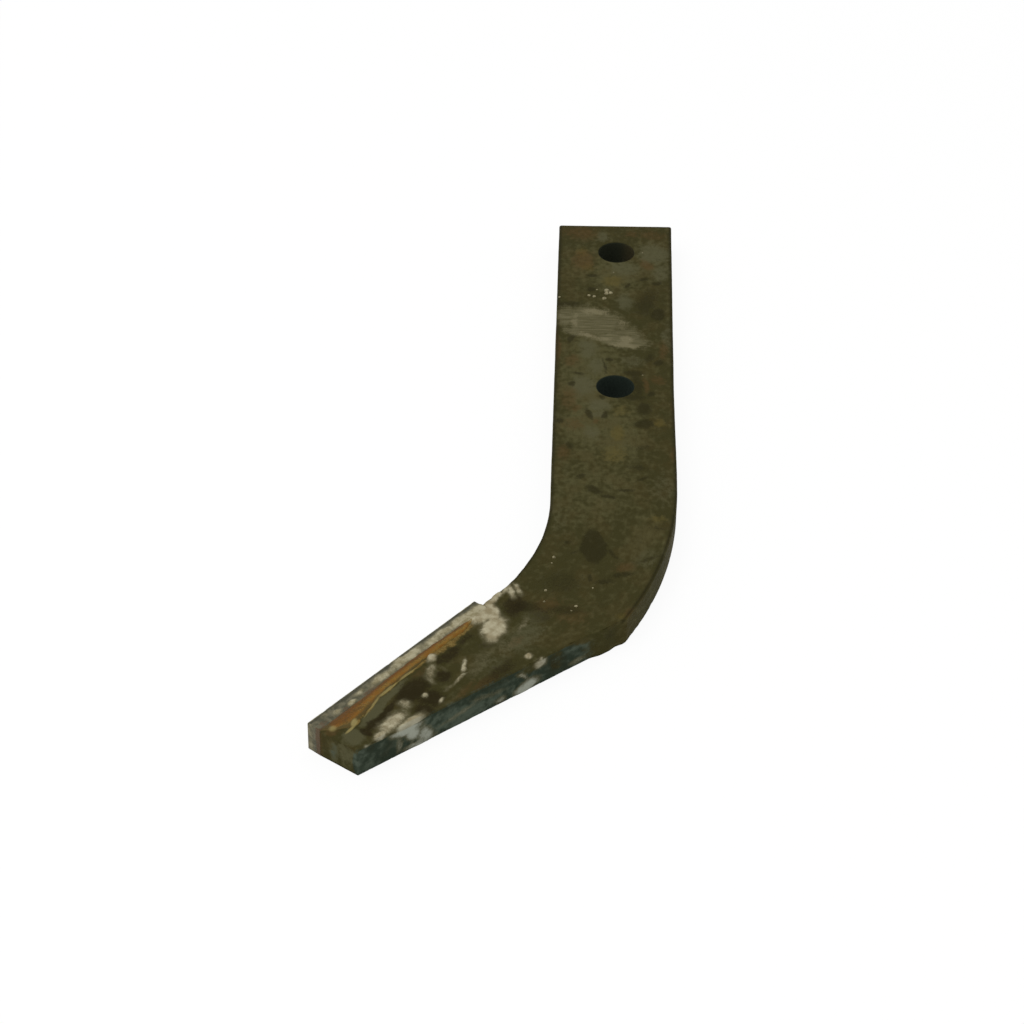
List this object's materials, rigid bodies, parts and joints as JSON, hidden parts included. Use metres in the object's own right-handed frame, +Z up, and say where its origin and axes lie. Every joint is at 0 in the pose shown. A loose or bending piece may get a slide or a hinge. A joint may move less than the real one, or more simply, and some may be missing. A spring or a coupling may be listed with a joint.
{
  "type": "rotary tiller blade",
  "caption": "Flat steel bar bent in its own plane, with two bolt holes, a tapered arm and a hard strip brazed along its inner edge.",
  "frame": {"origin": "midway between the two bolt holes, on the underside of the shank", "axes": "+Z up through the bar's thickness, +Y up the shank towards its bolted end, the arm bends towards -X"},
  "size_m": [0.1389, 0.3537, 0.0134],
  "materials": {
    "scaled_steel": "dark hot-rolled mill scale with rust stains and heat tints",
    "hard_metal": "dull grey hard metal under a pale flux crust",
    "braze": "oxidised brass filler, orange to straw brown"
  },
  "bodies": {
    "root": {"blade_body": "scaled_steel", "edge_strip": "hard_metal", "braze_seam": "braze"}
  },
  "joints": []
}
